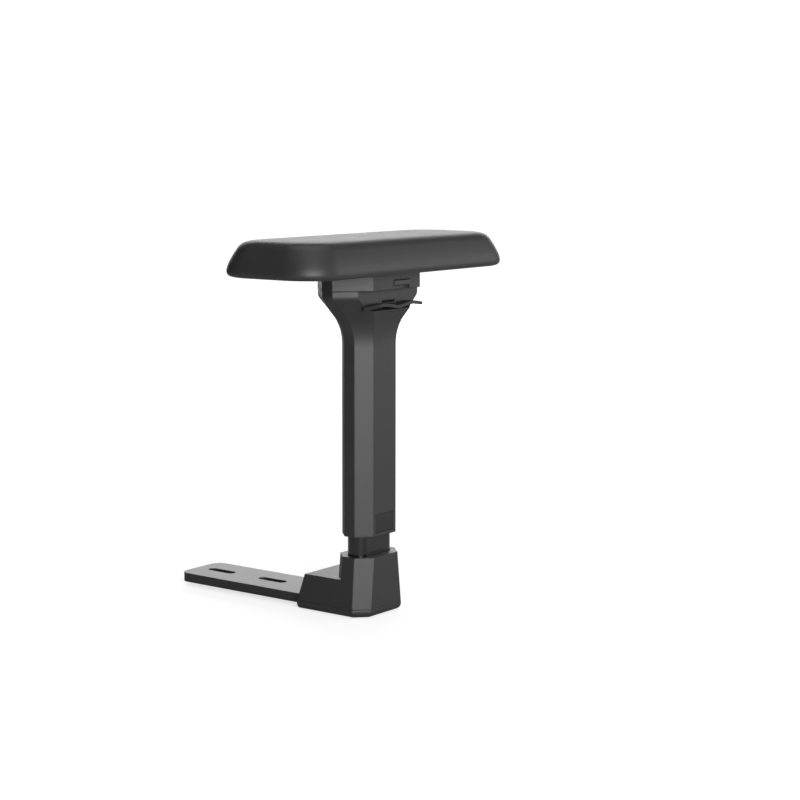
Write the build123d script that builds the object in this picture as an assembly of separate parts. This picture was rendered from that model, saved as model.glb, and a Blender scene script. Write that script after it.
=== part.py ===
from build123d import *
import math
import os

os.makedirs("parts", exist_ok=True)

# Adjustable armrest for an office or gaming chair, the sitter's right-hand one.
# A soft pad slides and swivels on a deck, the deck's sleeve slides on a post,
# and the post stands on a steel bracket that bolts under the seat.
# Frame: origin at the centre of the two seat-bolt slots, on the plate's top face.
# +X points outboard, +Y to the front of the chair, +Z up. Sizes are millimetres.

# Steel bracket plate
COLUMN_X = 138.0            # seat-bolt centre to the column's axis
PLATE_THICKNESS = 8.0
PLATE_WIDTH = 52.0
SLOT_SPACING = 60.0
SLOT_LENGTH = 30.0
SLOT_WIDTH = 8.5            # for M8 bolts
SLOT_END_WALL = 13.0
PLATE_CORNER = 10.0
PLATE_TOE = 4.0             # plate beyond the post's outboard face

# Post: a rounded rectangular steel tube
POST_X = 18.6
POST_Y = 45.0
POST_CORNER = 8.0
POST_WALL = 2.5
POST_TOP = 244.5
WELD_LEG = 3.0
CAP_FLANGE = 2.0
CAP_PLUG = 8.0

# Sleeve column: an eight-sided section with 45 degree corners
COLUMN_HALF_X = 16.7
COLUMN_HALF_Y = 26.8
COLUMN_END = 5.3            # half width of the rear and front faces
SLEEVE_WALL = 2.2
SLEEVE_BOTTOM = 56.7
BADGE_HEIGHT = 15.4
BADGE_MARGIN = 3.0
BADGE_DEPTH = 0.8
BADGE_ABOVE_BOTTOM = 3.0    # Flared head and deck
HEAD_HALF_X = 29.4
HEAD_HALF_Y = 55.7
HEAD_SIDE = 31.6            # half length of the head's outboard face
HEAD_TOP = 265.0
HEAD_RIM = 4.0              # upright rim above the flare
HEAD_ROUND = 5.0            # rounding between flare and rim
FLARE_RADIUS = 32.0
FLARE_SLOPE = 47.0          # degrees from upright
FLARE_STEPS = 4
DECK_HALF_Y = 56.1
DECK_THICKNESS = 13.2
DECK_CHAMFER = 0.3
DECK_SCREW_X = 10.0
DECK_SCREW_Y = 36.0
SCREW_RADIUS = 2.0
SCREW_HEAD_RADIUS = 3.8
SCREW_HEAD_HEIGHT = 2.4
SCREW_BITE = 12.0

# Height travel and latch
TRAVEL_UP = 60.0
TRAVEL_DOWN = 10.0
STEP = 10.0
LATCH_Z = 176.5
LATCH_HALF_Y = 5.0
LATCH_HEIGHT = 5.4
LATCH_FROM_AXIS = 9.6       # nose of the latch, just clear of the post's wall
LATCH_LENGTH = 2.2
WINDOW_CLEARANCE = 0.4
CROSS_PIN_RADIUS = 0.9
CROSS_PIN_X = 10.9
ROD_X0 = 9.8
ROD_WIDTH = 3.5
ROD_Y0 = 6.0
ROD_THICKNESS = 2.4
CAM_CLEARANCE = 0.15
STOP_PIN_RADIUS = 2.5

# Guide bushes between post and sleeve
BUSH_HEIGHT = 22.0
BUSH_INSET = 3.0
HOUSING_HALF = 12.0
SLIDE_CLEARANCE = 0.3
GUIDE_CLEARANCE = 0.25

# Height lever, under the deck on the outboard side
LEVER_X = 17.0              # hinge pin, from the column's axis
LEVER_BELOW_DECK = 13.0
LEVER_PIN_RADIUS = 1.5
LEVER_PIN_HALF = 16.0
LEVER_HUB_RADIUS = 3.2
LEVER_HUB_HALF = 8.6
PIN_CLEARANCE = 0.05
FINGER_X = 11.25
FINGER_HALF = 1.0
NOTCH_CLEARANCE = 1.0
PADDLE_IN = 22.6
PADDLE_OUT = 31.0
PADDLE_HALF_Y = 40.0
PADDLE_THICKNESS = 2.6
PADDLE_DIP = 1.2
PADDLE_RISE = 1.0
SCOOP_FLOOR = 20.4
SCOOP_HALF_Y = 42.0
SCOOP_ROUND = 4.0
SCOOP_DEPTH = 17.0          # Swivel, cross slide and pad slide
PIVOT_RADIUS = 4.0
PIVOT_HEAD_HEIGHT = 4.3
NUT_FLATS = 13.0
NUT_HEIGHT = 5.0
WASHER_RADIUS = 8.0
WASHER_HEIGHT = 1.3
DISC_RADIUS = 20.0
DISC_THICKNESS = 0.5
HUB_RADIUS = 14.0
SWIVEL_THICKNESS = 3.0
SWIVEL_HALF_X = 23.0
SWIVEL_HALF_Y = 44.0
SWIVEL_CORNER = 4.0
CARRIAGE_THICKNESS = 3.0
CARRIAGE_HALF_X = 35.2
CARRIAGE_HALF_Y = 34.0
GLIDE_THICKNESS = 0.7
GLIDE_RADIUS = 4.0
GLIDE_Y = 24.0
RAIL_WEB = 3.0
RAIL_LIP = 2.5
RAIL_LIP_THICKNESS = 2.0
RAIL_HALF_LENGTH = 66.0
CROSS_TRAVEL = 9.0
PAD_TRAVEL = 25.0

# Pad
PAD_LENGTH = 276.0
PAD_WIDTH = 108.0
PAD_CORNER = 32.0
PAD_HEIGHT = 29.6
PAD_TAPER = 14.0            # degrees, the sides lean inwards to the top
PAD_TOP_ROUND = 8.0
PAD_RIM = 11.0              # foam beside the base
PAD_GAP = 0.4               # pad's underside above the friction disc
BASE_FLOOR = 3.0
BASE_WALL = 3.0
BASE_HEIGHT = 15.0
BASE_CORNER = 14.0
CORE_THICKNESS = 3.0
FOAM_CLEARANCE = 0.4
BOSS_RADIUS = 4.5
PAD_SCREW_X = 30.0
PAD_SCREW_Y = 100.0         # Slide-lock button in the deck's outboard face
BUTTON_Y0 = -4.0
BUTTON_LENGTH = 21.5
BUTTON_HEIGHT = 4.4
BUTTON_DEPTH = 12.0
BUTTON_PROUD = 0.7
BUTTON_TRAVEL = 2.5
BUTTON_ABOVE_BOTTOM = 3.2
BUTTON_CLEARANCE = 0.3
BUTTON_SPRING_RADIUS = 1.5
SPRING_SEAT = 8.0           # depth of the spring's bore behind the button
SPRING_LENGTH = 11.0
SPRING_PITCH = 1.0
SPRING_WIRE = 0.5

# Moulded bracket cover and lower tray
CASING_TOP = 19.5
CASING_BOTTOM = -11.6
CASING_SPLIT = -4.5
CASING_LENGTH = 53.0        # from the column's axis to the cover's inboard end
CASING_CHAMFER = 7.0
CASING_WALL = 3.0
SOCKET_TOP = 39.4
SOCKET_LIP = 1.5            # socket rim outside the column
FOOT_OUT_X = 0.4            # the draft from the rim down to the bottom
FOOT_OUT_Y = 4.8
FOOT_END = 1.0
BOTTOM_ROUND = 5.5
COVER_SCREW_X = (98.5, 117.0)
COVER_SCREW_Y = 15.0

# Worked-out places
ROOT2 = math.sqrt(2)
COLUMN_CORNER = COLUMN_HALF_X - COLUMN_END
COLUMN_SIDE = COLUMN_HALF_Y - COLUMN_CORNER
BORE_SHIFT = SLEEVE_WALL * math.tan(math.radians(22.5))
BORE_HALF_X = COLUMN_HALF_X - SLEEVE_WALL
BORE_HALF_Y = COLUMN_HALF_Y - SLEEVE_WALL
RIM_Z = HEAD_TOP - HEAD_RIM
ARC_OUT = FLARE_RADIUS * (1 - math.cos(math.radians(FLARE_SLOPE)))
ARC_RISE = FLARE_RADIUS * math.sin(math.radians(FLARE_SLOPE))
FLARE_OUT = HEAD_HALF_Y - COLUMN_HALF_Y
ROUND_OUT = HEAD_ROUND * (1 - math.cos(math.radians(FLARE_SLOPE)))
ROUND_RISE = HEAD_ROUND * math.sin(math.radians(FLARE_SLOPE))
SLOPE_RISE = (FLARE_OUT - ARC_OUT - ROUND_OUT) / math.tan(math.radians(FLARE_SLOPE))
FLARE_Z = RIM_Z - ROUND_RISE - SLOPE_RISE - ARC_RISE
DECK_TOP = HEAD_TOP + DECK_THICKNESS
DISC_TOP = DECK_TOP + DISC_THICKNESS
PAD_BOTTOM = DISC_TOP + PAD_GAP
SWIVEL_Z = PAD_BOTTOM + BASE_FLOOR + PAD_GAP
SWIVEL_TOP = SWIVEL_Z + SWIVEL_THICKNESS
CARRIAGE_Z = SWIVEL_TOP + GLIDE_THICKNESS + 0.1
CARRIAGE_TOP = CARRIAGE_Z + CARRIAGE_THICKNESS
CORE_Z = PAD_BOTTOM + BASE_HEIGHT
CORE_TOP = CORE_Z + CORE_THICKNESS
BASE_HALF_X = PAD_WIDTH / 2 - PAD_RIM
BASE_HALF_Y = PAD_LENGTH / 2 - PAD_RIM
LEVER_Z = HEAD_TOP - LEVER_BELOW_DECK
POST_FACE = POST_X / 2
NUT_Z = SWIVEL_TOP + 0.1 + WASHER_HEIGHT
BOLT_END = NUT_Z + NUT_HEIGHT + 0.5
PLATE_INNER = -SLOT_SPACING / 2 - SLOT_LENGTH / 2 - SLOT_END_WALL
PLATE_OUTER = COLUMN_X + POST_FACE + PLATE_TOE
FOOT_SHARE = SOCKET_TOP / (SOCKET_TOP - CASING_BOTTOM)
FOOT_DIAGONAL = (COLUMN_END + COLUMN_HALF_Y + 1.5 * SOCKET_LIP + FOOT_SHARE * (FOOT_END + FOOT_OUT_Y)
                 - CASING_WALL * ROOT2)


def block(x0, x1, y0, y1, z0, z1):
    """A box between two corners."""
    centre = Pos((x0 + x1) / 2, (y0 + y1) / 2, (z0 + z1) / 2)
    return centre * Box(x1 - x0, y1 - y0, z1 - z0)


def foot_block(x0, x1, half_y, z0, z1):
    """A box under the post whose outboard corners follow the socket's 45 degree faces."""
    cut = x1 - COLUMN_X + half_y - FOOT_DIAGONAL
    outline = Polyline((x0, -half_y), (x0, half_y), (x1 - cut, half_y), (x1, half_y - cut),
                       (x1, cut - half_y), (x1 - cut, -half_y), close=True)
    return extrude(Pos(0, 0, z0) * make_face(outline), z1 - z0, dir=(0, 0, 1))


def rod(x, y, z0, z1, radius):
    """An upright cylinder."""
    return Pos(x, y, (z0 + z1) / 2) * Cylinder(radius, z1 - z0)


def octagon(half_x, half_y, end_half, side_half, z):
    """The column's eight-sided section, centred on the column's axis."""
    corners = [(half_x, side_half), (end_half, half_y), (-end_half, half_y), (-half_x, side_half)]
    corners += [(-x, -y) for x, y in corners]
    return Pos(COLUMN_X, 0, z) * make_face(Polyline(*corners, close=True))


def octagon_prism(half_x, half_y, end_half, side_half, z0, z1):
    """An upright eight-sided block from z0 to z1."""
    return extrude(octagon(half_x, half_y, end_half, side_half, z0), z1 - z0)


def rounded_prism(size_x, size_y, corner, z0, z1):
    """An upright block with rounded corners, centred on its own axis."""
    return extrude(Pos(0, 0, z0) * RectangleRounded(size_x, size_y, corner), z1 - z0)


def bore_prism(z0, z1):
    """The sleeve's bore, which the bushes fill."""
    end_half = COLUMN_END - BORE_SHIFT
    side_half = COLUMN_SIDE - BORE_SHIFT
    return octagon_prism(BORE_HALF_X, BORE_HALF_Y, end_half, side_half, z0, z1)


def post_prism(gap, z0, z1):
    """The post's outline, grown by a gap."""
    grown = rounded_prism(POST_X + 2 * gap, POST_Y + 2 * gap, POST_CORNER + gap, z0, z1)
    return Pos(COLUMN_X, 0, 0) * grown


def on_column(shape):
    """Move a piece drawn about its own middle onto the column's axis."""
    return Pos(COLUMN_X, 0, 0) * shape


def screw(x, y, head_z, tip_z):
    """A pan-head screw; its head lies on the far side of head_z from the tip."""
    way = 1 if tip_z > head_z else -1
    head_end = head_z - way * SCREW_HEAD_HEIGHT
    head = rod(x, y, min(head_z, head_end), max(head_z, head_end), SCREW_HEAD_RADIUS)
    recess = Pos(x, y, head_end + way * 0.7) * Box(4.2, 1.1, 1.4)
    recess += Pos(x, y, head_end + way * 0.7) * Box(1.1, 4.2, 1.4)
    shank = rod(x, y, min(head_z, tip_z), max(head_z, tip_z), SCREW_RADIUS)
    return head - recess + shank


def screw_hole(x, y, head_z, tip_z):
    """The room that a screw takes, with a hair of clearance."""
    way = 1 if tip_z > head_z else -1
    head_end = head_z - way * (SCREW_HEAD_HEIGHT + 1)
    z_low, z_high = sorted((head_z, head_end))
    hole = rod(x, y, z_low, z_high, SCREW_HEAD_RADIUS + 0.2)
    z_low, z_high = sorted((head_z, tip_z + way * 0.5))
    return hole + rod(x, y, z_low, z_high, SCREW_RADIUS + PIN_CLEARANCE)


# Bracket

def bracket_plate():
    """Flat steel arm with two bolt slots under the seat."""
    plate = foot_block(PLATE_INNER, PLATE_OUTER, PLATE_WIDTH / 2, -PLATE_THICKNESS, 0)
    plate = fillet(plate.edges().filter_by(Axis.Z).group_by(Axis.X)[0], PLATE_CORNER)
    for x in (-SLOT_SPACING / 2, SLOT_SPACING / 2):
        slot = Pos(x, 0, -PLATE_THICKNESS) * SlotOverall(SLOT_LENGTH, SLOT_WIDTH)
        plate -= extrude(slot, PLATE_THICKNESS)
    for x, y in cover_screw_places():
        plate -= rod(x, y, -PLATE_THICKNESS, 0, SCREW_RADIUS + 0.5)
    return plate


def post_tube():
    """Steel tube with a column of latch windows and a stop slot."""
    tube = post_prism(0, 0, POST_TOP) - post_prism(-POST_WALL, -1, POST_TOP + 1)
    half_y = LATCH_HALF_Y + WINDOW_CLEARANCE
    half_z = LATCH_HEIGHT / 2 + WINDOW_CLEARANCE
    steps = round((TRAVEL_UP + TRAVEL_DOWN) / STEP) + 1
    for k in range(steps):
        z = LATCH_Z - TRAVEL_DOWN + k * STEP
        x0 = COLUMN_X + POST_FACE - POST_WALL - 1
        tube -= block(x0, x0 + POST_WALL + 2, -half_y, half_y, z - half_z, z + half_z)
    reach = STOP_PIN_RADIUS + WINDOW_CLEARANCE
    stop_low = LATCH_Z - TRAVEL_DOWN - reach
    stop_high = LATCH_Z + TRAVEL_UP + reach
    x1 = COLUMN_X - POST_FACE + POST_WALL + 1
    tube -= block(x1 - POST_WALL - 2, x1, -reach, reach, stop_low, stop_high)
    return tube


def post_weld():
    """Fillet weld all round the post's foot."""
    outer = Pos(COLUMN_X, 0, 0) * RectangleRounded(
        POST_X + 2 * WELD_LEG, POST_Y + 2 * WELD_LEG, POST_CORNER + WELD_LEG)
    bead = extrude(outer, WELD_LEG, taper=45)
    return bead - post_prism(0, -1, WELD_LEG + 1)


def post_cap():
    """Plastic plug in the top of the tube."""
    flange = post_prism(0, POST_TOP, POST_TOP + CAP_FLANGE)
    plug = post_prism(-POST_WALL, POST_TOP - CAP_PLUG, POST_TOP)
    hollow = post_prism(-POST_WALL - 2, POST_TOP - CAP_PLUG - 1, POST_TOP)
    nose = LATCH_HALF_Y + WINDOW_CLEARANCE
    return flange + plug - hollow - block(
        COLUMN_X - POST_X, COLUMN_X + POST_X, -nose, nose, POST_TOP - CAP_PLUG - 1, POST_TOP)


def cover_screw_places():
    """The bracket cover's screws, in pairs along the arm."""
    return [(x, y) for x in COVER_SCREW_X for y in (-COVER_SCREW_Y, COVER_SCREW_Y)]


def casing_half_y(z):
    """Half width of the drafted casing at a height."""
    share = (SOCKET_TOP - z) / (SOCKET_TOP - CASING_BOTTOM)
    return COLUMN_HALF_Y + SOCKET_LIP + share * FOOT_OUT_Y


def casing_section(z):
    """Eight-sided section of the drafted socket at a height."""
    share = (SOCKET_TOP - z) / (SOCKET_TOP - CASING_BOTTOM)
    half_x = COLUMN_HALF_X + SOCKET_LIP + share * FOOT_OUT_X
    end_half = COLUMN_END + SOCKET_LIP / 2 + share * FOOT_END
    half_y = casing_half_y(z)
    return octagon(half_x, half_y, end_half, half_y - half_x + end_half, z)


def casing_outer():
    """Outside of the moulded bracket casing: socket and arm, with one draft all round."""
    socket = loft([casing_section(CASING_BOTTOM), casing_section(SOCKET_TOP)], ruled=True)
    x_end = COLUMN_X - CASING_LENGTH
    side = Polyline((x_end, CASING_BOTTOM), (x_end, CASING_SPLIT),
                    (x_end + CASING_CHAMFER, CASING_TOP), (COLUMN_X, CASING_TOP),
                    (COLUMN_X, CASING_BOTTOM), close=True)
    arm = extrude(make_face(Plane.XZ * side), 2 * COLUMN_HALF_Y, both=True)
    low = casing_half_y(CASING_BOTTOM)
    high = casing_half_y(CASING_TOP)
    end = Polyline((-low, CASING_BOTTOM), (-high, CASING_TOP), (high, CASING_TOP),
                   (low, CASING_BOTTOM), close=True)
    drafted = extrude(make_face(Plane.YZ * end), COLUMN_X, dir=(1, 0, 0))
    return socket + (arm & drafted)


def casing_cavity():
    """Room inside the casing for the plate, the weld and the post."""
    half_y = PLATE_WIDTH / 2
    x0 = COLUMN_X - CASING_LENGTH
    room = foot_block(x0 - 5, PLATE_OUTER, half_y, -PLATE_THICKNESS, 0)
    x1 = COLUMN_X + POST_FACE + WELD_LEG
    return room + foot_block(x0 + CASING_CHAMFER, x1, half_y, 0, CASING_TOP - CASING_WALL)


def casing_bosses():
    """Screw bosses that hang from the cover's roof down to the plate."""
    bosses = Part()
    for x, y in cover_screw_places():
        bosses += rod(x, y, 0, CASING_TOP - CASING_WALL, BOSS_RADIUS)
    return bosses


def bracket_cover():
    """Upper moulding: the arm's lid and the socket around the post's foot."""
    big = 400.0
    shell = casing_outer() - casing_cavity() + casing_bosses()
    shell -= post_prism(SLIDE_CLEARANCE, 0, SOCKET_TOP + 1)
    shell -= block(-big, big, -big, big, CASING_BOTTOM - 5, CASING_SPLIT)
    for x, y in cover_screw_places():
        shell -= rod(x, y, CASING_SPLIT - 1, CASING_TOP - CASING_WALL - 1, SCREW_RADIUS + PIN_CLEARANCE)
    return shell


def bracket_tray():
    """Lower moulding: the tray that closes the arm from below."""
    big = 400.0
    shell = casing_outer() - block(-big, big, -big, big, CASING_SPLIT, SOCKET_TOP + 5)
    bottom = shell.faces().sort_by(Axis.Z)[0]
    rim = bottom.outer_wire().edges().sort_by(Axis.X)
    shell = fillet(rim[1:], BOTTOM_ROUND)
    shell -= casing_cavity()
    for x, y in cover_screw_places():
        shell -= rod(x, y, CASING_BOTTOM - 1, CASING_BOTTOM + SCREW_HEAD_HEIGHT, SCREW_HEAD_RADIUS + 0.2)
        shell -= rod(x, y, CASING_BOTTOM, 0, SCREW_RADIUS + PIN_CLEARANCE)
    return shell


def cover_screws():
    """Four screws from below, through tray and plate into the cover's bosses."""
    tip = CASING_TOP - CASING_WALL - 2
    group = [screw(x, y, CASING_BOTTOM + SCREW_HEAD_HEIGHT, tip) for x, y in cover_screw_places()]
    return Compound(group)


# Sleeve

def sleeve_outer():
    """Outside of the sleeve: straight column, concave flare and upright rim."""
    column = octagon_prism(COLUMN_HALF_X, COLUMN_HALF_Y, COLUMN_END, COLUMN_SIDE, SLEEVE_BOTTOM, FLARE_Z)

    def section(share, z):
        half_x = COLUMN_HALF_X + share * (HEAD_HALF_X - COLUMN_HALF_X)
        side = COLUMN_SIDE + share * (HEAD_SIDE - COLUMN_SIDE)
        return octagon(half_x, COLUMN_HALF_Y + share * FLARE_OUT, COLUMN_END, side, z)

    hollow = []
    bulge = []
    for k in range(FLARE_STEPS + 1):
        angle = math.radians(FLARE_SLOPE) * k / FLARE_STEPS
        out = FLARE_RADIUS * (1 - math.cos(angle))
        hollow.append(section(out / FLARE_OUT, FLARE_Z + FLARE_RADIUS * math.sin(angle)))
        out = HEAD_ROUND * (1 - math.cos(angle))
        bulge.append(section(1 - out / FLARE_OUT, RIM_Z - HEAD_ROUND * math.sin(angle)))
    slope = loft([hollow[-1], bulge[-1]], ruled=True)
    rim = octagon_prism(HEAD_HALF_X, HEAD_HALF_Y, COLUMN_END, HEAD_SIDE, RIM_Z, HEAD_TOP)
    return column + loft(hollow) + slope + loft(bulge[::-1]) + rim


def scoop():
    """Finger scoop in the head's outboard side, where the lever sits."""
    x0 = COLUMN_X + SCOOP_FLOOR
    x1 = COLUMN_X + HEAD_HALF_X + 10
    z0 = HEAD_TOP - SCOOP_DEPTH
    wall = Line((x0, HEAD_TOP), (x0, z0 + SCOOP_ROUND))
    bend = RadiusArc((x0, z0 + SCOOP_ROUND), (x0 + SCOOP_ROUND, z0), -SCOOP_ROUND)
    floor = Line((x0 + SCOOP_ROUND, z0), (x1, z0))
    close = Polyline((x1, z0), (x1, HEAD_TOP), (x0, HEAD_TOP))
    profile = make_face(Plane.XZ * (wall + bend + floor + close))
    return extrude(profile, SCOOP_HALF_Y, both=True)


def lever_slot():
    """Slot through the scoop's floor for the lever's hub and finger."""
    half_y = LEVER_HUB_HALF + SLIDE_CLEARANCE
    half_z = LEVER_HUB_RADIUS + SLIDE_CLEARANCE
    x0 = COLUMN_X + BORE_HALF_X - 1
    x1 = COLUMN_X + SCOOP_FLOOR + 1
    return block(x0, x1, -half_y, half_y, LEVER_Z - half_z, LEVER_Z + half_z)


def lever_pin_rod(radius, half_length):
    """A cylinder along Y on the lever's hinge line."""
    place = Pos(COLUMN_X + LEVER_X, 0, LEVER_Z) * Rot(90, 0, 0)
    return place * Cylinder(radius, 2 * half_length)


def badge_block(depth, gap):
    """The blank badge near the sleeve's bottom, grown by a gap."""
    x1 = COLUMN_X + COLUMN_HALF_X
    half_y = COLUMN_SIDE - BADGE_MARGIN + gap
    z0 = SLEEVE_BOTTOM + BADGE_ABOVE_BOTTOM
    return block(x1 - depth, x1 + 1, -half_y, half_y, z0 - gap, z0 + BADGE_HEIGHT + gap)


def deck_screw_places():
    """Four screws that hold the deck on the head."""
    return [(COLUMN_X + sx * DECK_SCREW_X, sy * DECK_SCREW_Y) for sx in (-1, 1) for sy in (-1, 1)]


def sleeve_shell():
    """The moulded sleeve with its flared head."""
    shell = sleeve_outer() - bore_prism(SLEEVE_BOTTOM - 1, HEAD_TOP + 1)
    shell -= scoop()
    shell -= lever_slot()
    shell -= lever_pin_rod(LEVER_PIN_RADIUS + PIN_CLEARANCE, LEVER_PIN_HALF)
    shell -= badge_block(BADGE_DEPTH + 0.4, 0.3)
    for x, y in deck_screw_places():
        shell -= rod(x, y, HEAD_TOP - SCREW_BITE - 1, HEAD_TOP, SCREW_RADIUS + PIN_CLEARANCE)
    stop_x = COLUMN_X - COLUMN_HALF_X - 1
    hole = Pos(stop_x + 5, 0, LATCH_Z) * Rot(0, 90, 0) * Cylinder(STOP_PIN_RADIUS + PIN_CLEARANCE, 10)
    return shell - hole


def blank_badge():
    """Plain inset plate, with nothing on it."""
    plate = badge_block(BADGE_DEPTH + 0.4, 0)
    face = COLUMN_X + COLUMN_HALF_X - 0.4
    return plate - block(face, face + 5, -50, 50, SLEEVE_BOTTOM, SLEEVE_BOTTOM + 60)


def lower_bush():
    """Plastic guide at the sleeve's mouth."""
    z0 = SLEEVE_BOTTOM + BUSH_INSET
    return bore_prism(z0, z0 + BUSH_HEIGHT) - post_prism(SLIDE_CLEARANCE, z0 - 1, z0 + BUSH_HEIGHT + 1)


def rod_channel(z0, z1):
    """Channel beside the post for the pull rod."""
    x0 = COLUMN_X + ROD_X0 - GUIDE_CLEARANCE
    x1 = COLUMN_X + ROD_X0 + ROD_WIDTH + GUIDE_CLEARANCE
    y0 = ROD_Y0 - GUIDE_CLEARANCE
    return block(x0, x1, y0, ROD_Y0 + ROD_THICKNESS + GUIDE_CLEARANCE, z0, z1)


def latch_housing():
    """Upper guide, which also holds the latch and the rod's lower end."""
    z0 = LATCH_Z - HOUSING_HALF
    z1 = LATCH_Z + HOUSING_HALF
    body = bore_prism(z0, z1) - post_prism(SLIDE_CLEARANCE, z0 - 1, z1 + 1)
    body -= rod_channel(z0 - 1, z1 + 1)
    half_y = LATCH_HALF_Y + GUIDE_CLEARANCE
    half_z = LATCH_HEIGHT / 2 + GUIDE_CLEARANCE
    x0 = COLUMN_X + POST_FACE
    x1 = COLUMN_X + BORE_HALF_X - 0.3
    body -= block(x0, x1, -half_y, ROD_Y0 + ROD_THICKNESS + GUIDE_CLEARANCE,
                  LATCH_Z - half_z, LATCH_Z + half_z)
    place = Pos(COLUMN_X - BORE_HALF_X, 0, LATCH_Z) * Rot(0, 90, 0)
    return body - place * Cylinder(STOP_PIN_RADIUS + PIN_CLEARANCE, 16)


def stop_pin():
    """Dowel that runs in the post's slot and ends the height travel."""
    x0 = COLUMN_X - COLUMN_HALF_X + 0.3
    x1 = COLUMN_X - POST_FACE + POST_WALL
    place = Pos((x0 + x1) / 2, 0, LATCH_Z) * Rot(0, 90, 0)
    return place * Cylinder(STOP_PIN_RADIUS, x1 - x0)


def deck_plate():
    """Plate on top of the head that carries the swivel."""
    side = HEAD_SIDE + DECK_HALF_Y - HEAD_HALF_Y
    deck = octagon_prism(HEAD_HALF_X, DECK_HALF_Y, COLUMN_END, side, HEAD_TOP, DECK_TOP)
    rim = deck.edges().filter_by(lambda e: abs(e.center().Z - HEAD_TOP) < 0.01)
    deck = chamfer(rim, DECK_CHAMFER)
    deck -= rod(COLUMN_X, 0, HEAD_TOP - 1, DECK_TOP + 1, PIVOT_RADIUS + PIN_CLEARANCE)
    deck -= button_block(BUTTON_CLEARANCE, BUTTON_TRAVEL + BUTTON_CLEARANCE)
    x_face = COLUMN_X + HEAD_HALF_X
    y1 = BUTTON_Y0 + BUTTON_LENGTH + BUTTON_CLEARANCE
    deck -= block(x_face - 3, x_face + 1, BUTTON_Y0 - BUTTON_CLEARANCE, y1,
                  HEAD_TOP - 1, HEAD_TOP + BUTTON_ABOVE_BOTTOM)
    deck -= button_spring_bore(COLUMN_X + HEAD_HALF_X - BUTTON_DEPTH - SPRING_SEAT)
    for x, y in deck_screw_places():
        deck -= screw_hole(x, y, DECK_TOP - SCREW_HEAD_HEIGHT, HEAD_TOP - 2)
    return deck


def deck_screws():
    """Four screws through the deck into the head."""
    head_z = DECK_TOP - SCREW_HEAD_HEIGHT
    group = [screw(x, y, head_z, HEAD_TOP - SCREW_BITE) for x, y in deck_screw_places()]
    return Compound(group)


def pivot_bolt():
    """Hex bolt up through the deck, on which the pad swivels."""
    head_z = HEAD_TOP - PIVOT_HEAD_HEIGHT
    head = Pos(COLUMN_X, 0, head_z) * RegularPolygon(NUT_FLATS / 2, 6, major_radius=False)
    return extrude(head, PIVOT_HEAD_HEIGHT) + rod(COLUMN_X, 0, HEAD_TOP, BOLT_END, PIVOT_RADIUS)


def pivot_nut():
    """Lock nut on the pivot bolt."""
    nut = Pos(COLUMN_X, 0, NUT_Z) * RegularPolygon(NUT_FLATS / 2, 6, major_radius=False)
    return extrude(nut, NUT_HEIGHT) - rod(COLUMN_X, 0, NUT_Z - 1, BOLT_END + 1, PIVOT_RADIUS)


def spring_washer():
    """Dished washer that sets the swivel's friction."""
    z0 = NUT_Z - WASHER_HEIGHT
    ring = rod(COLUMN_X, 0, z0, NUT_Z, WASHER_RADIUS)
    return ring - rod(COLUMN_X, 0, z0 - 1, NUT_Z + 1, PIVOT_RADIUS + 0.2)


def friction_disc():
    """Thin plastic disc on the deck, under the swivel's hub."""
    disc = rod(COLUMN_X, 0, DECK_TOP, DISC_TOP, DISC_RADIUS)
    return disc - rod(COLUMN_X, 0, DECK_TOP - 1, DISC_TOP + 1, PIVOT_RADIUS + 0.2)


# Height lever, rod and latch

def paddle_wave(y):
    """Height of the paddle's middle surface: low in the middle, high wings, tips turned down."""
    t = abs(y) / PADDLE_HALF_Y
    return -PADDLE_DIP * math.cos(math.pi * t) ** 2 + PADDLE_RISE * math.sin(math.pi * t)


def height_lever():
    """Gull-wing paddle with its hub and the finger that moves the rod."""
    count = 12
    ys = [-PADDLE_HALF_Y + 2 * PADDLE_HALF_Y * k / count for k in range(count + 1)]
    half = PADDLE_THICKNESS / 2
    top = Spline(*[(y, LEVER_Z + paddle_wave(y) + half) for y in ys])
    low = Spline(*[(y, LEVER_Z + paddle_wave(y) - half) for y in ys])
    ends = Line(top @ 0, low @ 0) + Line(top @ 1, low @ 1)
    band = extrude(make_face(Plane.YZ * (top + low + ends)), 2 * COLUMN_X, dir=(1, 0, 0))
    tip = PADDLE_HALF_Y - 1.0
    rim_half = 0.62 * PADDLE_HALF_Y
    plan = Polyline((PADDLE_IN, -tip), (PADDLE_IN + 3.5, -PADDLE_HALF_Y), (PADDLE_OUT, -rim_half))
    plan += ThreePointArc((PADDLE_OUT, -rim_half), (PADDLE_OUT + 0.8, 0), (PADDLE_OUT, rim_half))
    plan += Polyline((PADDLE_OUT, rim_half), (PADDLE_IN + 3.5, PADDLE_HALF_Y), (PADDLE_IN, tip),
                     (PADDLE_IN, -tip))
    outline = extrude(Pos(COLUMN_X, 0, LEVER_Z - 20) * make_face(plan), 40, dir=(0, 0, 1))
    paddle = band & outline
    hub = lever_pin_rod(LEVER_HUB_RADIUS, LEVER_HUB_HALF)
    neck = block(COLUMN_X + LEVER_X, COLUMN_X + PADDLE_IN + 2, -LEVER_HUB_HALF, LEVER_HUB_HALF,
                 LEVER_Z - half, LEVER_Z + half - 0.6)
    finger = block(COLUMN_X + FINGER_X, COLUMN_X + LEVER_X, ROD_Y0 + 0.2, ROD_Y0 + ROD_THICKNESS - 0.2,
                   LEVER_Z - FINGER_HALF, LEVER_Z + FINGER_HALF)
    lever = paddle + hub + neck + finger
    lever -= lever_pin_rod(LEVER_PIN_RADIUS + PIN_CLEARANCE, LEVER_HUB_HALF + 1)
    return lever


def lever_pin():
    """Steel hinge pin."""
    return lever_pin_rod(LEVER_PIN_RADIUS, LEVER_PIN_HALF)


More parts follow.
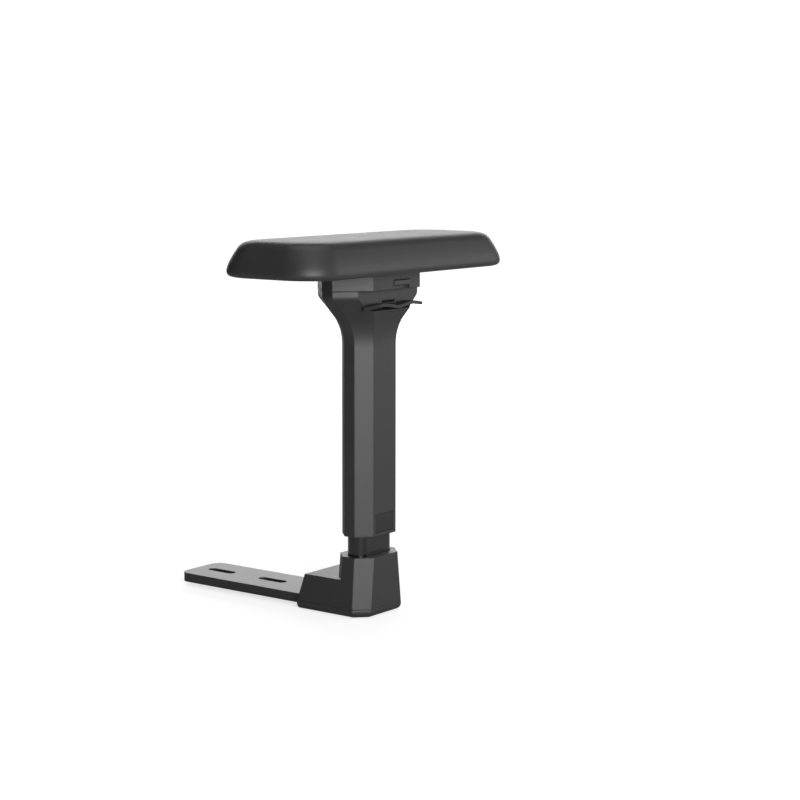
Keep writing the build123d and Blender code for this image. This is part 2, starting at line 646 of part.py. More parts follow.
def pull_rod():
    """Flat strip from the lever down to the latch, with a 45 degree cam end."""
    x0 = ROD_X0
    x1 = ROD_X0 + ROD_WIDTH
    reach = (CROSS_PIN_RADIUS + CAM_CLEARANCE) * ROOT2
    cam = LATCH_Z - CROSS_PIN_X + reach
    z_top = LEVER_Z + FINGER_HALF + NOTCH_CLEARANCE + 2
    side = Polyline((x0, x0 + cam), (x0, z_top), (x1, z_top), (x1, x1 + cam), close=True)
    strip = extrude(make_face(Pos(COLUMN_X, 0, 0) * (Plane.XZ * side)), ROD_THICKNESS, dir=(0, 1, 0))
    strip = Pos(0, ROD_Y0, 0) * strip
    notch = FINGER_HALF + NOTCH_CLEARANCE
    return strip - block(COLUMN_X + FINGER_X - 0.4, COLUMN_X + x1 + 1, ROD_Y0 - 1,
                         ROD_Y0 + ROD_THICKNESS + 1, LEVER_Z - notch, LEVER_Z + notch)


def latch_bolt():
    """Steel latch with the cross pin that the cam pushes."""
    x0 = COLUMN_X + LATCH_FROM_AXIS
    half_z = LATCH_HEIGHT / 2
    bolt = block(x0, x0 + LATCH_LENGTH, -LATCH_HALF_Y, LATCH_HALF_Y, LATCH_Z - half_z, LATCH_Z + half_z)
    y0 = LATCH_HALF_Y - 2
    y1 = ROD_Y0 + ROD_THICKNESS
    place = Pos(COLUMN_X + CROSS_PIN_X, (y0 + y1) / 2, LATCH_Z) * Rot(90, 0, 0)
    return bolt + place * Cylinder(CROSS_PIN_RADIUS, y1 - y0)


# Slide-lock button

def button_block(gap, back_gap):
    """The button's body, grown by a gap at its sides and behind it."""
    x1 = COLUMN_X + HEAD_HALF_X + BUTTON_PROUD
    z0 = HEAD_TOP + BUTTON_ABOVE_BOTTOM
    return block(x1 - BUTTON_DEPTH - back_gap, x1, BUTTON_Y0 - gap, BUTTON_Y0 + BUTTON_LENGTH + gap,
                 z0 - gap, z0 + BUTTON_HEIGHT + gap)


def button_axis(x0, x1, radius):
    """A cylinder along the button's line of travel."""
    z = HEAD_TOP + BUTTON_ABOVE_BOTTOM + BUTTON_HEIGHT / 2
    place = Pos((x0 + x1) / 2, BUTTON_Y0 + BUTTON_LENGTH / 2, z) * Rot(0, 90, 0)
    return place * Cylinder(radius, x1 - x0)


def button_spring_bore(x0):
    """Blind bore in the deck that seats the button's spring."""
    return button_axis(x0, COLUMN_X + HEAD_HALF_X - BUTTON_DEPTH, BUTTON_SPRING_RADIUS + 0.2)


def slide_button():
    """Press button in the deck's outboard face, hollow at the back for its spring."""
    button = button_block(0, 0)
    face = button.faces().sort_by(Axis.X)[-1]
    button = fillet(face.edges(), 0.6)
    x0 = COLUMN_X + HEAD_HALF_X + BUTTON_PROUD - BUTTON_DEPTH
    return button - button_axis(x0 - 1, x0 + 7, BUTTON_SPRING_RADIUS + 0.3)


def button_spring():
    """Coil spring between deck and button, drawn as long as it is when pressed."""
    x0 = COLUMN_X + HEAD_HALF_X - BUTTON_DEPTH - SPRING_SEAT + 0.5
    wire = SPRING_WIRE / 2
    coil = Helix(pitch=SPRING_PITCH, height=SPRING_LENGTH, radius=BUTTON_SPRING_RADIUS - wire)
    section = Plane(coil @ 0, z_dir=coil % 0) * Circle(wire)
    spring = sweep(section, coil, is_frenet=True)
    z = HEAD_TOP + BUTTON_ABOVE_BOTTOM + BUTTON_HEIGHT / 2
    return Pos(x0, BUTTON_Y0 + BUTTON_LENGTH / 2, z) * Rot(0, 90, 0) * spring


# Swivel and cross slide

def swivel_plate():
    """Steel plate that turns on the pivot bolt."""
    plate = block(-SWIVEL_HALF_X, SWIVEL_HALF_X, -SWIVEL_HALF_Y, SWIVEL_HALF_Y, SWIVEL_Z, SWIVEL_TOP)
    plate = fillet(plate.edges().filter_by(Axis.Z), SWIVEL_CORNER)
    return on_column(plate - rod(0, 0, SWIVEL_Z - 1, SWIVEL_TOP + 1, PIVOT_RADIUS + PIN_CLEARANCE))


def swivel_hub():
    """Plastic hub under the swivel plate, through the base's opening."""
    hub = rod(0, 0, DISC_TOP + 0.1, SWIVEL_Z, HUB_RADIUS)
    return on_column(hub - rod(0, 0, DECK_TOP, SWIVEL_Z + 1, PIVOT_RADIUS + PIN_CLEARANCE))


def cross_rails():
    """Two lipped rails across the swivel plate, which guide the carriage sideways."""
    y0 = CARRIAGE_HALF_Y + SLIDE_CLEARANCE
    z1 = CARRIAGE_TOP + SLIDE_CLEARANCE
    rails = []
    for way in (-1, 1):
        low, high = sorted((way * y0, way * (y0 + RAIL_WEB)))
        web = block(-SWIVEL_HALF_X, SWIVEL_HALF_X, low, high, SWIVEL_TOP, z1 + RAIL_LIP_THICKNESS)
        low, high = sorted((way * (y0 - RAIL_LIP), way * y0))
        lip = block(-SWIVEL_HALF_X, SWIVEL_HALF_X, low, high, z1, z1 + RAIL_LIP_THICKNESS)
        rails.append(on_column(web + lip))
    return Compound([rail.solid() for rail in rails])


def cross_carriage():
    """Frame that slides sideways on the swivel plate and carries the pad."""
    frame = block(-CARRIAGE_HALF_X, CARRIAGE_HALF_X, -CARRIAGE_HALF_Y, CARRIAGE_HALF_Y,
                  CARRIAGE_Z, CARRIAGE_TOP)
    room_x = WASHER_RADIUS + CROSS_TRAVEL + 1
    room_y = WASHER_RADIUS + 1.5
    return on_column(frame - block(-room_x, room_x, -room_y, room_y, CARRIAGE_Z - 1, CARRIAGE_TOP + 1))


def carriage_glides():
    """Four nylon glides between carriage and swivel plate."""
    reach = SWIVEL_HALF_X - CROSS_TRAVEL - GLIDE_RADIUS
    discs = []
    for sx in (-1, 1):
        for sy in (-1, 1):
            disc = rod(sx * reach, sy * GLIDE_Y, CARRIAGE_Z - GLIDE_THICKNESS, CARRIAGE_Z, GLIDE_RADIUS)
            discs.append(on_column(disc))
    return Compound(discs)


# Pad

def pad_screw_places():
    """Six screws that hold the core on the base."""
    return [(sx * PAD_SCREW_X, sy * PAD_SCREW_Y) for sx in (-1, 0, 1) for sy in (-1, 1)]


def pad_base():
    """Rigid tray under the pad, with the opening that the hub travels in."""
    z0 = PAD_BOTTOM
    tray = rounded_prism(2 * BASE_HALF_X, 2 * BASE_HALF_Y, BASE_CORNER, z0, CORE_Z)
    tray -= rounded_prism(2 * (BASE_HALF_X - BASE_WALL), 2 * (BASE_HALF_Y - BASE_WALL),
                          BASE_CORNER - BASE_WALL, z0 + BASE_FLOOR, CORE_Z + 1)
    for x, y in pad_screw_places():
        tray += rod(x, y, z0 + BASE_FLOOR - 0.5, CORE_Z, BOSS_RADIUS)
    room_x = HUB_RADIUS + CROSS_TRAVEL + 1
    room_y = HUB_RADIUS + PAD_TRAVEL + 1
    opening = rounded_prism(2 * room_x, 2 * room_y, HUB_RADIUS, z0 - 1, z0 + BASE_FLOOR + 1)
    tray -= opening
    for x, y in pad_screw_places():
        tray -= screw_hole(x, y, z0 + SCREW_HEAD_HEIGHT, CORE_Z)
    return on_column(tray)


def slide_rails():
    """Two channel rails on the base, which run fore and aft on the carriage."""
    x0 = CARRIAGE_HALF_X + SLIDE_CLEARANCE
    x_lip = x0 - RAIL_LIP
    z_low = CARRIAGE_Z - SLIDE_CLEARANCE
    z_high = CARRIAGE_TOP + SLIDE_CLEARANCE
    rails = []
    for way in (-1, 1):
        low, high = sorted((way * x0, way * (x0 + RAIL_WEB)))
        rail = block(low, high, -RAIL_HALF_LENGTH, RAIL_HALF_LENGTH, PAD_BOTTOM + BASE_FLOOR,
                     z_high + RAIL_LIP_THICKNESS)
        low, high = sorted((way * x_lip, way * x0))
        rail += block(low, high, -RAIL_HALF_LENGTH, RAIL_HALF_LENGTH, z_low - RAIL_LIP_THICKNESS, z_low)
        rail += block(low, high, -RAIL_HALF_LENGTH, RAIL_HALF_LENGTH, z_high, z_high + RAIL_LIP_THICKNESS)
        rails.append(on_column(rail))
    return Compound([rail.solid() for rail in rails])


def pad_core():
    """Stiff board under the foam."""
    core = rounded_prism(2 * BASE_HALF_X, 2 * BASE_HALF_Y, BASE_CORNER, CORE_Z, CORE_TOP)
    for x, y in pad_screw_places():
        core -= rod(x, y, CORE_Z - 1, CORE_TOP - 0.4, SCREW_RADIUS + PIN_CLEARANCE)
    return on_column(core)


def pad_screws():
    """Six screws up through the base into the core."""
    head_z = PAD_BOTTOM + SCREW_HEAD_HEIGHT
    group = [on_column(screw(x, y, head_z, CORE_TOP - 1)) for x, y in pad_screw_places()]
    return Compound([one.solid() for one in group])


def pad_cushion():
    """Moulded foam pad over base and core."""
    outline = Pos(0, 0, PAD_BOTTOM) * RectangleRounded(PAD_WIDTH, PAD_LENGTH, PAD_CORNER)
    foam = extrude(outline, PAD_HEIGHT, taper=PAD_TAPER)
    top = foam.faces().sort_by(Axis.Z)[-1]
    foam = fillet(top.edges(), PAD_TOP_ROUND)
    foam -= rounded_prism(2 * (BASE_HALF_X + FOAM_CLEARANCE), 2 * (BASE_HALF_Y + FOAM_CLEARANCE),
                          BASE_CORNER + FOAM_CLEARANCE, PAD_BOTTOM - 1, CORE_TOP + FOAM_CLEARANCE)
    return on_column(foam)


PARTS = {
    "bracket_plate": bracket_plate,
    "post_tube": post_tube,
    "post_weld": post_weld,
    "post_cap": post_cap,
    "bracket_cover": bracket_cover,
    "bracket_tray": bracket_tray,
    "cover_screws": cover_screws,
    "sleeve_shell": sleeve_shell,
    "blank_badge": blank_badge,
    "lower_bush": lower_bush,
    "latch_housing": latch_housing,
    "stop_pin": stop_pin,
    "deck_plate": deck_plate,
    "deck_screws": deck_screws,
    "pivot_bolt": pivot_bolt,
    "pivot_nut": pivot_nut,
    "spring_washer": spring_washer,
    "friction_disc": friction_disc,
    "lever_pin": lever_pin,
    "height_lever": height_lever,
    "pull_rod": pull_rod,
    "latch_bolt": latch_bolt,
    "slide_button": slide_button,
    "button_spring": button_spring,
    "swivel_plate": swivel_plate,
    "swivel_hub": swivel_hub,
    "cross_rails": cross_rails,
    "cross_carriage": cross_carriage,
    "carriage_glides": carriage_glides,
    "pad_base": pad_base,
    "slide_rails": slide_rails,
    "pad_core": pad_core,
    "pad_screws": pad_screws,
    "pad_cushion": pad_cushion,
}

for name, make in PARTS.items():
    export_step(make(), f"parts/{name}.step")
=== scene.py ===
import math

import bmesh
import bpy
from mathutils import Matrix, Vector


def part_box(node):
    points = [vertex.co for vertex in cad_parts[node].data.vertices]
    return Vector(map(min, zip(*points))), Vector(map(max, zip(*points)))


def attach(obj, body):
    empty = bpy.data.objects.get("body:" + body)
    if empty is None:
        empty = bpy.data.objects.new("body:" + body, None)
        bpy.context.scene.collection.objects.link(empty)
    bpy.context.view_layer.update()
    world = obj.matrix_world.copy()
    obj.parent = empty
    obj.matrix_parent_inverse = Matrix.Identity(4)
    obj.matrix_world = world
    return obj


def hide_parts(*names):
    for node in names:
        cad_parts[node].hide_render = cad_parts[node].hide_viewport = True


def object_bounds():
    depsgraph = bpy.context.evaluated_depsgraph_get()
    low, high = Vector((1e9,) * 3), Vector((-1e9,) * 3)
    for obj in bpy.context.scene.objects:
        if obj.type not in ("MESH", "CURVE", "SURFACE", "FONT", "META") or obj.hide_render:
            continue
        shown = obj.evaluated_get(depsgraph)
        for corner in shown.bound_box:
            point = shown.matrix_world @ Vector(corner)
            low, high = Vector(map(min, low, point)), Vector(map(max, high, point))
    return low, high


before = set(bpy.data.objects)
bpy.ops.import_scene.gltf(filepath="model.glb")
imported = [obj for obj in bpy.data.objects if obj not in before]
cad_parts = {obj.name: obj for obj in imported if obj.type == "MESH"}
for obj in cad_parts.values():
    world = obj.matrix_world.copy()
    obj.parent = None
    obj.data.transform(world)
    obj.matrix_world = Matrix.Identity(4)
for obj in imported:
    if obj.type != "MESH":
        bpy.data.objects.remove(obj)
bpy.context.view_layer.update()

# Bracket plate. A flat bar of 8 mm steel that runs in under the seat and takes two bolts in
# its slots. The post stands on its outboard end in a fillet weld, and both are coated with
# black powder, which flows to a satin skin with a slight orange peel.
FLAT_COSINE = 0.995         # between a face's own direction and its softened one: still flat
EDGE_COSINE = 0.85          # and here fully on the edge


class Finish:
    """One painted or moulded surface, built up node by node on a Principled shader."""

    def __init__(self, name):
        self.material = bpy.data.materials.new(name)
        self.material.use_nodes = True
        self.tree = self.material.node_tree
        self.tree.nodes.clear()
        self.shader = self.add("ShaderNodeBsdfPrincipled")
        output = self.add("ShaderNodeOutputMaterial")
        self.join(self.shader, "BSDF", output, "Surface")
        self.place = self.add("ShaderNodeTexCoord")

    def add(self, kind, **settings):
        node = self.tree.nodes.new(kind)
        for key, value in settings.items():
            setattr(node, key, value)
        return node

    def join(self, source, output, target, socket):
        self.tree.links.new(source.outputs[output], target.inputs[socket])

    def noise(self, per_metre, detail=3.0, stretch=(1.0, 1.0, 1.0)):
        """Noise in the piece's own metres, drawn out along an axis where stretch is small."""
        mapping = self.add("ShaderNodeMapping")
        mapping.inputs["Scale"].default_value = stretch
        self.join(self.place, "Object", mapping, "Vector")
        node = self.add("ShaderNodeTexNoise")
        node.inputs["Scale"].default_value = per_metre
        node.inputs["Detail"].default_value = detail
        self.join(mapping, "Vector", node, "Vector")
        return node

    def spread(self, source, output, low, high):
        """Map a value between 0 and 1 onto a range."""
        node = self.add("ShaderNodeMapRange")
        node.inputs["To Min"].default_value = low
        node.inputs["To Max"].default_value = high
        self.join(source, output, node, "Value")
        return node

    def rounding(self, radius):
        """Soft edges of a given radius, and a mask that is 1 on them and 0 on the flats."""
        bevel = self.add("ShaderNodeBevel", samples=4)
        bevel.inputs["Radius"].default_value = radius
        true = self.add("ShaderNodeNewGeometry")
        dot = self.add("ShaderNodeVectorMath", operation="DOT_PRODUCT")
        self.join(bevel, "Normal", dot, 0)
        self.join(true, "Normal", dot, 1)
        mask = self.add("ShaderNodeMapRange")
        mask.inputs["From Min"].default_value = FLAT_COSINE
        mask.inputs["From Max"].default_value = EDGE_COSINE
        self.join(dot, "Value", mask, "Value")
        return bevel, mask

    def colour(self, base, drift, per_metre):
        """Base colour that drifts a little in brightness."""
        cloud = self.noise(per_metre, 4.0)
        mix = self.add("ShaderNodeMix", data_type="RGBA")
        mix.inputs[6].default_value = (*[c * (1 - drift) for c in base], 1)
        mix.inputs[7].default_value = (*[c * (1 + drift) for c in base], 1)
        self.join(cloud, "Fac", mix, 0)
        self.join(mix, 2, self.shader, "Base Color")
        return mix

    def paint_edge_highlight(self, under, mask, highlight_share, highlight_colour):
        """Painted highlight: a lighter colour laid along the edges, where light would catch them."""
        highlight_amount = self.spread(mask, "Result", 0.0, highlight_share)
        highlighted = self.add("ShaderNodeMix", data_type="RGBA")
        highlighted.inputs[7].default_value = (*highlight_colour, 1)
        self.join(under, 2, highlighted, 6)
        self.join(highlight_amount, "Result", highlighted, 0)
        self.join(highlighted, 2, self.shader, "Base Color")

    def roughness(self, source, output, low, high):
        self.join(self.spread(source, output, low, high), "Result", self.shader, "Roughness")

    def bump(self, source, output, height, strength, under=None):
        """Add a bump layer, on top of another one if given."""
        node = self.add("ShaderNodeBump")
        node.inputs["Distance"].default_value = height
        node.inputs["Strength"].default_value = strength
        self.join(source, output, node, "Height")
        if under is not None:
            self.join(under, "Normal", node, "Normal")
        self.join(node, "Normal", self.shader, "Normal")
        return node


def powder_coat(name, base, low, high):
    """Baked powder: an even colour, orange peel a millimetre or two across, and a painted highlight
    that makes the edges paler.
    """
    finish = Finish(name)
    rounded, mask = finish.rounding(0.0009)
    tint = finish.colour(base, 0.12, 40.0)
    # Painted highlight: edges lightened towards grey over the base colour.
    finish.paint_edge_highlight(tint, mask, 0.3, (0.08, 0.08, 0.08))
    peel = finish.noise(620.0, 2.0)
    finish.roughness(peel, "Fac", low, high)
    finish.bump(peel, "Fac", 0.00006, 1.0, under=rounded)
    return finish.material


def dress(material, *nodes):
    """Give pieces a finish in their own slots."""
    for node in nodes:
        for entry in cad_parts[node].material_slots:
            entry.material = material


bracket_black = powder_coat("black_powder_coat", (0.020, 0.020, 0.021), 0.36, 0.50)
dress(bracket_black, "bracket_plate", "post_weld")

# Post. A drawn steel tube, 18.6 by 45 mm with broad round corners, enamelled gloss black;
# faint draw lines run up it. A plug of satin acetal closes its top.


def gloss_enamel():
    """Stoved gloss enamel that shows the draw lines of the tube beneath it."""
    finish = Finish("gloss_black_enamel")
    finish.colour((0.006, 0.006, 0.0065), 0.2, 70.0)
    lines = finish.noise(1500.0, 2.0, stretch=(1.0, 1.0, 0.02))
    finish.roughness(lines, "Fac", 0.12, 0.24)
    finish.bump(lines, "Fac", 0.000008, 0.5)
    finish.shader.inputs["Coat Weight"].default_value = 0.5
    finish.shader.inputs["Coat Roughness"].default_value = 0.1
    return finish.material


def moulded_plastic(name, base, rough, grain_height, edge):
    """Injection moulding: even spark texture, soft edges, and a faint painted highlight on corners."""
    finish = Finish(name)
    rounded, mask = finish.rounding(edge)
    tint = finish.colour(base, 0.10, 55.0)
    # Painted highlight: edges lightened to nearly twice the base colour.
    finish.paint_edge_highlight(tint, mask, 0.25, tuple(c * 1.8 for c in base))
    coarse = finish.noise(340.0, 3.0)
    grain = finish.noise(2600.0, 2.0)
    finish.roughness(coarse, "Fac", rough - 0.06, rough + 0.07)
    swell = finish.bump(coarse, "Fac", grain_height, 0.5, under=rounded)
    finish.bump(grain, "Fac", grain_height, 0.8, under=swell)
    return finish.material


dress(gloss_enamel(), "post_tube")
acetal = moulded_plastic("satin_acetal", (0.014, 0.014, 0.015), 0.42, 0.00002, 0.0004)
dress(acetal, "post_cap")

# Bracket cover and tray. Two mouldings of glass-filled nylon with a fine matte texture that
# close round the plate and the post's foot; four black-oxide screws from below hold them.
nylon = moulded_plastic("matte_moulded_nylon", (0.022, 0.022, 0.0225), 0.46, 0.00004, 0.0014)
dress(nylon, "bracket_cover", "bracket_tray")
oxide = powder_coat("black_oxide", (0.015, 0.015, 0.016), 0.32, 0.45)
dress(oxide, "cover_screws")

# Guides and latch. Acetal guides fill the sleeve round the post. A zinc-plated latch in the
# upper guide, worked by a flat rod, holds the height, and a dowel in the post's slot ends it.


def zinc_plate():
    """Zinc plating over brushed steel."""
    finish = Finish("zinc_plated_steel")
    finish.colour((0.52, 0.52, 0.50), 0.08, 120.0)
    streaks = finish.noise(900.0, 3.0, stretch=(1.0, 0.05, 1.0))
    finish.roughness(streaks, "Fac", 0.24, 0.42)
    finish.bump(streaks, "Fac", 0.00001, 0.6)
    finish.shader.inputs["Metallic"].default_value = 1.0
    return finish.material


zinc = zinc_plate()
dress(acetal, "lower_bush", "latch_housing")
dress(zinc, "stop_pin", "pull_rod", "latch_bolt")

# Sleeve and deck. The eight-sided sleeve is one nylon moulding with its flared head, in the
# same matte texture as the bracket cover; the deck is screwed on top of it. A plain satin
# plate is set into the outboard face near the foot.
dress(nylon, "sleeve_shell", "deck_plate")
dress(oxide, "deck_screws")
badge_satin = moulded_plastic("badge_satin", (0.010, 0.010, 0.0105), 0.36, 0.00001, 0.0004)
dress(badge_satin, "blank_badge")

# Height lever and slide-lock button. The paddle is cast zinc with a satin black coat and
# turns on a steel pin; the button is a satin moulding that a coil spring pushes out.
dress(powder_coat("lever_coat", (0.010, 0.010, 0.0105), 0.42, 0.52), "height_lever")
dress(moulded_plastic("button_satin", (0.020, 0.020, 0.021), 0.40, 0.00002, 0.0004), "slide_button")
dress(zinc, "lever_pin", "button_spring")

# Swivel and slides. Zinc-plated plates and rails with an acetal hub, friction disc and
# carriage; four natural nylon glides carry the carriage.
dress(zinc, "pivot_bolt", "pivot_nut", "spring_washer", "swivel_plate", "cross_rails", "slide_rails")
dress(acetal, "friction_disc", "swivel_hub", "cross_carriage")
natural_nylon = moulded_plastic("natural_nylon", (0.72, 0.71, 0.66), 0.40, 0.00001, 0.0004)
dress(natural_nylon, "carriage_glides")

# Pad base and core. A stiff tray moulded in flat black plastic with a board of the same
# over it; six black-oxide screws come up from below.
base_plastic = moulded_plastic("base_moulding", (0.018, 0.018, 0.019), 0.55, 0.00005, 0.0008)
dress(base_plastic, "pad_base", "pad_core")
dress(oxide, "pad_screws")

# Pad. Self-skinned polyurethane foam moulded in one piece over base and core. Its lip stands
# upright, its sides lean in to a broad flat top, and the skin has a fine leather grain.
PAD_LENGTH = 0.276
PAD_WIDTH = 0.108
PAD_CORNER = 0.032
CORNER_SHRINK = 0.45        # how much of each step inwards the corner radius loses
LEAST_CORNER = 0.012
POCKET_ROOF = 0.0186
RING_POINTS = 192
SECTION_STEPS = 5
# step in from the lip and height above the underside, from the pocket's edge to the middle
PAD_SECTION = [(0.0114, 0.0010), (0.0090, 0.0002), (0.0048, 0.0002), (0.0014, 0.0014), (0.0, 0.0046),
               (0.0008, 0.0095), (0.0032, 0.0155), (0.0062, 0.0214), (0.0084, 0.0250), (0.0112, 0.0275),
               (0.0155, 0.0289), (0.0220, 0.0294), (0.0330, 0.0296), (0.0440, 0.0296)]


def pad_ring(inset, height, middle):
    """One closed line round the pad at a step in from its lip, starting on a corner."""
    half_x = PAD_WIDTH / 2 - inset
    half_y = PAD_LENGTH / 2 - inset
    corner = min(max(PAD_CORNER - CORNER_SHRINK * inset, LEAST_CORNER), half_x)
    flat_x = half_x - corner
    flat_y = half_y - corner
    side = RING_POINTS // 8
    points = []
    for turn, (sx, sy) in enumerate([(1, 1), (-1, 1), (-1, -1), (1, -1)]):
        for k in range(side):
            angle = (turn + k / side) * math.pi / 2
            points.append((sx * flat_x + corner * math.cos(angle),
                           sy * flat_y + corner * math.sin(angle)))
        for k in range(side):
            run = 1 - 2 * k / side
            if turn % 2 == 0:
                points.append((sx * flat_x * run, sy * half_y))
            else:
                points.append((sx * half_x, sy * flat_y * run))
    return [middle + Vector((x, y, height)) for x, y in points]


def smooth_line(points, steps):
    """Catmull-Rom line through points."""
    line = []
    for i in range(len(points) - 1):
        a = points[max(i - 1, 0)]
        b = points[i]
        c = points[i + 1]
        d = points[min(i + 2, len(points) - 1)]
        for k in range(steps):
            t = k / steps
            line.append(tuple(
                0.5 * (2 * b[j] + (c[j] - a[j]) * t + (2 * a[j] - 5 * b[j] + 4 * c[j] - d[j]) * t * t
                       + (3 * b[j] - a[j] - 3 * c[j] + d[j]) * t ** 3) for j in (0, 1)))
    return line + [points[-1]]


def pad_mesh(middle):
    """Closed foam body: rings from the pocket's edge out round the lip and up to the top."""
    work = bmesh.new()
    rings = []
    for inset, height in smooth_line(PAD_SECTION, SECTION_STEPS):
        rings.append([work.verts.new(p) for p in pad_ring(inset, height, middle)])
    roof = [work.verts.new((v.co.x, v.co.y, middle.z + POCKET_ROOF)) for v in rings[0]]
    rings.insert(0, roof)
    for low, high in zip(rings, rings[1:]):
        for k in range(RING_POINTS):
            n = (k + 1) % RING_POINTS
            work.faces.new((low[k], low[n], high[n], high[k]))
    work.faces.new(rings[-1])
    work.faces.new(roof[::-1])
    bmesh.ops.recalc_face_normals(work, faces=work.faces)
    mesh = bpy.data.meshes.new("pad_foam")
    work.to_mesh(mesh)
    work.free()
    for polygon in mesh.polygons:
        polygon.use_smooth = True
    return mesh


def grained_skin():
    """Polyurethane skin: soft leather pebble about a millimetre across, matte."""
    finish = Finish("polyurethane_skin")
    finish.colour((0.022, 0.022, 0.0225), 0.12, 35.0)
    broad = finish.noise(60.0, 3.0)
    finish.roughness(broad, "Fac", 0.42, 0.52)
    cells = finish.add("ShaderNodeTexVoronoi", feature="DISTANCE_TO_EDGE")
    cells.inputs["Scale"].default_value = 900.0
    finish.join(finish.place, "Object", cells, "Vector")
    pebble = finish.add("ShaderNodeMapRange")
    pebble.inputs["From Max"].default_value = 0.35
    finish.join(cells, "Distance", pebble, "Value")
    fine = finish.noise(3000.0, 2.0)
    first = finish.bump(pebble, "Result", 0.00004, 0.6)
    finish.bump(fine, "Fac", 0.00002, 0.5, under=first)
    return finish.material


pad_low, pad_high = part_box("pad_cushion")
pad_middle = Vector(((pad_low[0] + pad_high[0]) / 2, (pad_low[1] + pad_high[1]) / 2, pad_low[2]))
foam = pad_mesh(pad_middle)
foam.materials.append(grained_skin())
pad = bpy.data.objects.new("pad_foam", foam)
bpy.context.collection.objects.link(pad)
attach(pad, "pad")
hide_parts("pad_cushion")

# Studio. White paper under the bracket, with a painted glow that only the camera sees,
# weaker near the seat bolts, so that it goes white behind it. Soft boxes stand beside the
# camera, to its right, overhead and behind; the side at the chair's rear stays dark. Watts
# set each box's brightness.
FLOOR_HALF = 9.0
FLOOR_GAP = 0.0005
PAPER = (0.46, 0.46, 0.46)
GLOW_NEAR = 0.70            # light the paper adds where the camera looks at it
GLOW_FAR = 1.05
FADE_FROM = 0.6             # metres from the seat bolts
FADE_TO = 2.6
SKY_SEEN = 1.05
SKY_GLOW = 0.05
COLUMN_X = 0.138            # the post's axis
AIM = Vector((COLUMN_X, 0.0, 0.18))
# name, degrees round from +X towards +Y, degrees up, metres away, width, height, watts
BOXES = [("overhead", 0.0, 88.0, 1.6, 1.6, 1.6, 10.0),
         ("beside_camera", -40.0, 12.0, 2.2, 1.3, 1.3, 56.0),
         ("right", 50.0, 10.0, 2.2, 1.6, 1.6, 15.0),
         ("behind", 126.0, 12.0, 3.0, 3.0, 1.6, 46.0)]


def paper_floor(z):
    """A flat sheet of white paper, with a painted glow for camera rays that grows away from the seat
    bolts.
    """
    mesh = bpy.data.meshes.new("paper")
    half = FLOOR_HALF
    corners = [(-half, -half, z), (half, -half, z), (half, half, z), (-half, half, z)]
    mesh.from_pydata(corners, [], [(0, 1, 2, 3)])
    paper = Finish("white_paper")
    paper.colour(PAPER, 0.01, 3.0)
    fibre = paper.noise(800.0, 2.0)
    paper.roughness(fibre, "Fac", 0.86, 0.94)
    # Painted glow: emission seen by camera rays only, weaker within FADE_FROM of the seat bolts and
    # full beyond FADE_TO.
    rays = paper.add("ShaderNodeLightPath")
    away = paper.add("ShaderNodeVectorMath", operation="LENGTH")
    paper.join(paper.place, "Object", away, 0)
    glow = paper.spread(away, "Value", GLOW_NEAR, GLOW_FAR)
    glow.inputs["From Min"].default_value = FADE_FROM
    glow.inputs["From Max"].default_value = FADE_TO
    seen = paper.add("ShaderNodeMath", operation="MULTIPLY")
    paper.join(glow, "Result", seen, 0)
    paper.join(rays, "Is Camera Ray", seen, 1)
    paper.join(seen, "Value", paper.shader, "Emission Strength")
    paper.shader.inputs["Emission Color"].default_value = (1.0, 1.0, 1.0, 1.0)
    mesh.materials.append(paper.material)
    floor = bpy.data.objects.new("paper", mesh)
    bpy.context.collection.objects.link(floor)


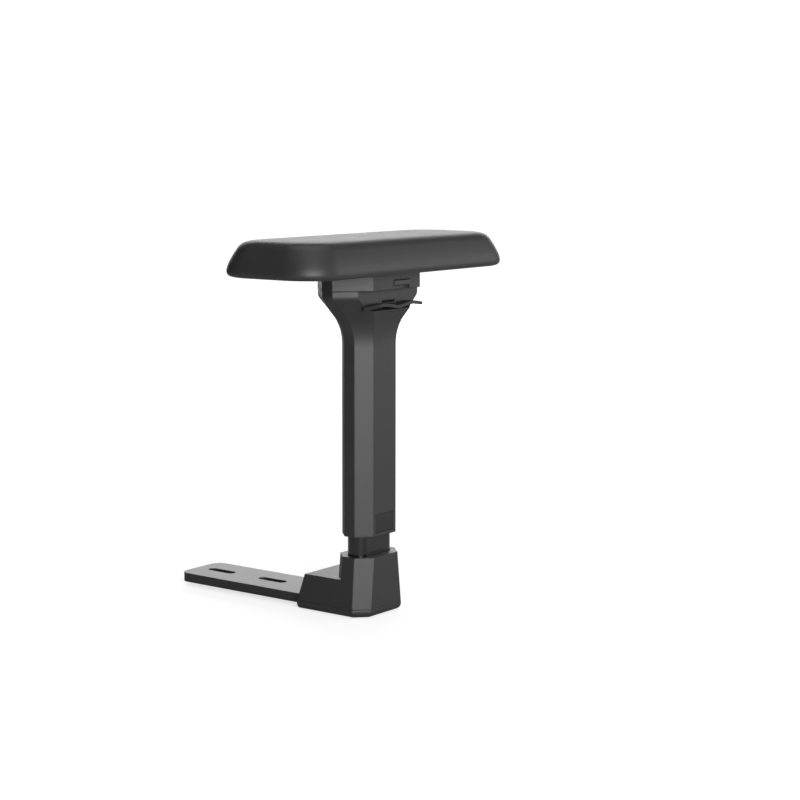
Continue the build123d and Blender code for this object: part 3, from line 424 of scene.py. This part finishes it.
def white_sky():
    """White where it is seen, faint as a light."""
    world = bpy.data.worlds.new("studio")
    world.use_nodes = True
    tree = world.node_tree
    tree.nodes.clear()
    rays = tree.nodes.new("ShaderNodeLightPath")
    strength = tree.nodes.new("ShaderNodeMapRange")
    strength.inputs["To Min"].default_value = SKY_GLOW
    strength.inputs["To Max"].default_value = SKY_SEEN
    tree.links.new(rays.outputs["Is Camera Ray"], strength.inputs["Value"])
    white = tree.nodes.new("ShaderNodeBackground")
    white.inputs["Color"].default_value = (1.0, 1.0, 1.0, 1.0)
    tree.links.new(strength.outputs["Result"], white.inputs["Strength"])
    output = tree.nodes.new("ShaderNodeOutputWorld")
    tree.links.new(white.outputs["Background"], output.inputs["Surface"])
    bpy.context.scene.world = world
    bpy.context.scene.view_settings.view_transform = "Standard"


def soft_box(name, round_from_x, up, away, width, height, watts):
    """A rectangular soft box aimed at the armrest."""
    lamp = bpy.data.lights.new(name, "AREA")
    lamp.shape = "RECTANGLE"
    lamp.size = width
    lamp.size_y = height
    lamp.energy = watts
    box = bpy.data.objects.new(name, lamp)
    box.visible_camera = False
    bpy.context.collection.objects.link(box)
    turn = math.radians(round_from_x)
    lift = math.radians(up)
    way = Vector((math.cos(lift) * math.cos(turn), math.cos(lift) * math.sin(turn), math.sin(lift)))
    box.location = AIM + way * away
    box.rotation_euler = (-way).to_track_quat("-Z", "Y").to_euler()


low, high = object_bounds()
paper_floor(low[2] - FLOOR_GAP)
white_sky()
for box_values in BOXES:
    soft_box(*box_values)

# Camera. It stands behind and outboard of the armrest, a little above the pad, and looks
# down to the bracket.
BEARING = math.radians(52.47)
DISTANCE = 1.643
CAMERA_HEIGHT = 0.3925
LENS = 88.5                 # millimetres on a 36 mm frame
LEFTWARDS = 0.0388          # lens shift, in frame widths
DOWNWARDS = math.radians(7.71)
camera_data = bpy.data.cameras.new("camera")
camera_data.sensor_width = 36.0
camera_data.lens = LENS
camera_data.shift_x = LEFTWARDS
camera_data.clip_end = 50.0
camera = bpy.data.objects.new("camera", camera_data)
bpy.context.collection.objects.link(camera)
camera.location = (COLUMN_X + DISTANCE * math.cos(BEARING),
                   -DISTANCE * math.sin(BEARING),
                   CAMERA_HEIGHT)
view = Vector((-math.cos(BEARING) * math.cos(DOWNWARDS),
               math.sin(BEARING) * math.cos(DOWNWARDS),
               -math.sin(DOWNWARDS)))
camera.rotation_euler = view.to_track_quat("-Z", "Y").to_euler()
bpy.context.scene.camera = camera
